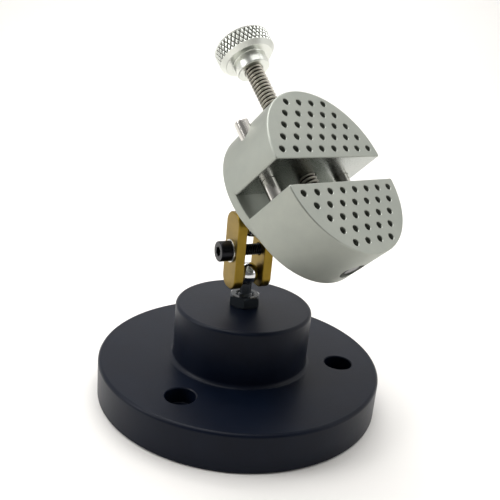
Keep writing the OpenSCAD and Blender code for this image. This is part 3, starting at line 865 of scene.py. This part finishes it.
def knobShape(k):
    # a diamond knurl: two families of grooves at 30 degrees to the axis; each point sinks by
    # depth where either family's wave is low
    rad, tall = k["dia"] / 2, k["height"]
    low, high = k["chamfer"], tall - k["farChamfer"]
    count = round(2 * math.pi * rad / k["knurlPitch"])
    steps = count * 12
    rows = 64
    a = np.linspace(0, 2 * np.pi, steps, endpoint=False)[None, :]
    z = np.linspace(low, high, rows)[:, None]
    lean = z * math.tan(math.radians(30)) / rad
    wave = lambda v: np.abs(((v * count / (2 * np.pi)) % 1) * 2 - 1)
    ridge = np.minimum(wave(a + lean), wave(a - lean))
    ridge = np.clip(ridge * 1.9, 0, 1)
    fade = np.clip(np.minimum(z - low, high - z) / 0.25, 0, 1)
    r = rad - k["knurlDepth"] * (1 - ridge) * fade
    points = np.stack([r * np.cos(a), r * np.sin(a), np.broadcast_to(z, r.shape)], 2)
    alongZ = np.gradient(points, axis=0)
    wide = np.concatenate([points[:, -1:], points, points[:, :1]], 1)
    normals = np.cross((wide[:, 2:] - wide[:, :-2]) / 2, alongZ)
    normals /= np.linalg.norm(normals, axis=2)[:, :, None]
    hub, bore = k["hubD"] / 2, lead["dia"] / 2 + 0.02
    c, f = k["chamfer"], k["farChamfer"]
    inner = revolve([(bore, 0.5, 0), (bore + 0.4, 0, 0), (hub, 0, 0), (hub, 0.01, 0)], steps)
    patches = [
        gridPatch(points, normals, wrap=True),
        revolve([(rad, high, 0), (rad - f, tall, 0.3), (0, tall, 0)], steps, 4),
        revolve([(hub, -k["hubH"] + 0.4, 0), (hub, 0, 0.3), (rad - c, 0, 0.25), (rad, c, 0)], steps, 4),
        revolve([(bore, 3, 0), (bore, -k["hubH"] + 0.3, 0), (bore + 0.3, -k["hubH"], 0),
                 (hub, -k["hubH"], 0.4), (hub, -k["hubH"] + 0.4, 0)], steps, 4),
        revolve([(0, 3, 0), (bore, 3, 0)], steps),
    ]
    return patches


threadRoot = lead["dia"] / 2 - lead["depth"]
# the thread's roots take the painted shade, a darker finish where shade falls
makePiece("lead_screw_thread", leadScrewShape(lead), headPlace, threadSteel,
          "lead_screw_body", "lead_screw",
          (paintedRootShade, rootFaces(threadRoot - 0.02, threadRoot + lead["depth"] * 0.35)))
# the knurl's grooves take the same painted shade
makePiece("knurled_knob",
          [moved(turned(p, alongY), (0, hubY + knob["hubH"], driveZ)) for p in knobShape(knob)],
          headPlace, turnedAluminium, "lead_screw_body", "knob",
          (paintedRootShade, rootFaces(knob["dia"] / 2 - knob["knurlDepth"] - 0.02,
                                knob["dia"] / 2 - knob["knurlDepth"] * 0.6)))

pocketFloor = -head["slot"] - head["dia"] / 2 + lead["pocketDepth"]
retainer = {"bore": 2.1, "washerT": 0.8, "headR": 2.6, "headH": 2.6, "shankR": 1.0, "length": 5, "gap": 0.1}
retainerRing = washerShape(lead["pocketD"] - 1, retainer["bore"], retainer["washerT"], 0.12, 56)
washerY = pocketFloor - retainer["gap"] - retainer["washerT"]
makePiece("retainer_washer_flat",
          [moved(turned(p, alongY), (0, washerY, driveZ)) for p in retainerRing],
          headPlace, brightZinc, "lead_screw_body", "retainer_washer")
headR, headH, shankR = retainer["headR"], retainer["headH"], retainer["shankR"]
retainerHead = revolve([(0, 0, 0), (headR, 0, 0.3), (headR, headH, 0), (shankR, headH, 0),
                        (shankR, retainer["length"], 0), (0, retainer["length"], 0)], 56, 5)
makePiece("retainer_screw_head",
          [moved(turned(retainerHead, alongY), (0, washerY - headH, driveZ))],
          headPlace, blackOxide, "lead_screw_body", "retainer_screw")
grubR, grubLength = 1.4, 2.1
grub = revolve([(0, 0, 0), (grubR, 0, 0.2), (grubR, grubLength, 0), (0, grubLength, 0)], 40, 3)
makePiece("knob_grub_screw",
          [moved(grub, (0, hubY + knob["hubH"] / 2, driveZ - knob["hubD"] / 2 + 0.35))],
          headPlace, blackOxide, "lead_screw_body", "knob_set_screw")
print("screw, pins and knob made")


studio = {"floorHex": "#f1efec", "worldHex": "#fdfcfa", "nearLight": 0.17, "farLight": 0.95}


def makeFloor(s):
    # a wide sheet that curves up behind the object, height growing with the square of the distance
    u = np.linspace(-1.2, 1.2, 60)
    w = np.linspace(-0.9, 1.6, 90)
    x, y = np.meshgrid(u, w)
    z = np.where(y > 0.7, (y - 0.7) ** 2 * 0.9, 0)
    points = np.stack([x, y, z], 2)
    mesh = bpy.data.meshes.new("floor")
    verts, _, faces = gridPatch(points, points)
    mesh.from_pydata(verts.tolist(), [], faces.tolist())
    mesh.polygons.foreach_set("use_smooth", np.ones(len(faces), bool))
    floor = bpy.data.objects.new("floor", mesh)
    bpy.context.scene.collection.objects.link(floor)
    mesh.materials.append(finishMaterial("palePaper", s["floorHex"], "#efedea", 0.7, 0.05, 0.0, 1.0, 0.001,
                                         patchMm=200))


def areaLight(name, where, size, power, aim=(0, 0, 0.06), tint="#ffffff"):
    data = bpy.data.lights.new(name, "AREA")
    data.shape = "RECTANGLE"
    data.size, data.size_y = size
    data.energy = power
    data.color = colour(tint)[:3]
    lamp = bpy.data.objects.new(name, data)
    bpy.context.scene.collection.objects.link(lamp)
    lamp.location = where
    lamp.rotation_euler = (Vector(aim) - Vector(where)).to_track_quat("-Z", "Y").to_euler()


makeFloor(studio)
studioLight = bpy.data.worlds.new("studio")
bpy.context.scene.world = studioLight
studioLight.use_nodes = True
sky = studioLight.node_tree
# white behind, above and at the sides, darker on the near side where the room is unlit
skyWay = addNode(sky, "ShaderNodeTexCoord")
skyParts = addNode(sky, "ShaderNodeSeparateXYZ", {}, {"Vector": skyWay.outputs["Generated"]})
skyLight = addNode(sky, "ShaderNodeMapRange",
                   {"From Min": -0.75, "From Max": 0.25, "To Min": studio["nearLight"],
                    "To Max": studio["farLight"], "interpolation_type": "SMOOTHSTEP"},
                   {"Value": skyParts.outputs["Y"]})
# the room itself looks pale wherever it is seen directly
skySeen = addNode(sky, "ShaderNodeMix", {"B": studio["farLight"]},
                  {"Factor": sky.nodes.new("ShaderNodeLightPath").outputs["Is Camera Ray"],
                   "A": skyLight.outputs["Result"]})
background = sky.nodes["Background"]
background.inputs["Color"].default_value = colour(studio["worldHex"])
sky.links.new(skySeen.outputs["Result"], background.inputs["Strength"])
areaLight("top", (-0.1, 0.1, 0.9), (0.7, 0.7), 3.9)
areaLight("key", (-0.75, -0.15, 0.55), (0.35, 0.5), 3.0)
areaLight("side", (0.8, -0.1, 0.4), (0.3, 0.5), 0.7)
areaLight("backdrop", (0, 0.55, 1.1), (1.2, 0.4), 9, (0, 1.25, 0.2))


cameraSet = {"lens": 46.5, "aim": (0.0003, 0, 0.0536), "distance": 0.2219, "elevation": 18.35,
             "azimuth": 0.34, "roll": 5.39}


def makeCamera(c):
    # stands at a distance from the aim point, looks at it, then rolls about its own line of sight
    el, az, roll = (math.radians(c[k]) for k in ("elevation", "azimuth", "roll"))
    back = Vector((-math.sin(az) * math.cos(el), -math.cos(az) * math.cos(el), math.sin(el)))
    data = bpy.data.cameras.new("camera")
    data.lens = c["lens"]
    data.sensor_width = 36
    data.clip_start = 0.01
    camera = bpy.data.objects.new("camera", data)
    bpy.context.scene.collection.objects.link(camera)
    look = (-back).to_track_quat("-Z", "Y").to_matrix()
    camera.rotation_euler = (look @ Matrix.Rotation(roll, 3, "Z")).to_euler()
    camera.location = Vector(c["aim"]) + back * c["distance"]
    bpy.context.scene.camera = camera


makeCamera(cameraSet)
bpy.context.scene.view_settings.view_transform = "Standard"
print("scene ready")
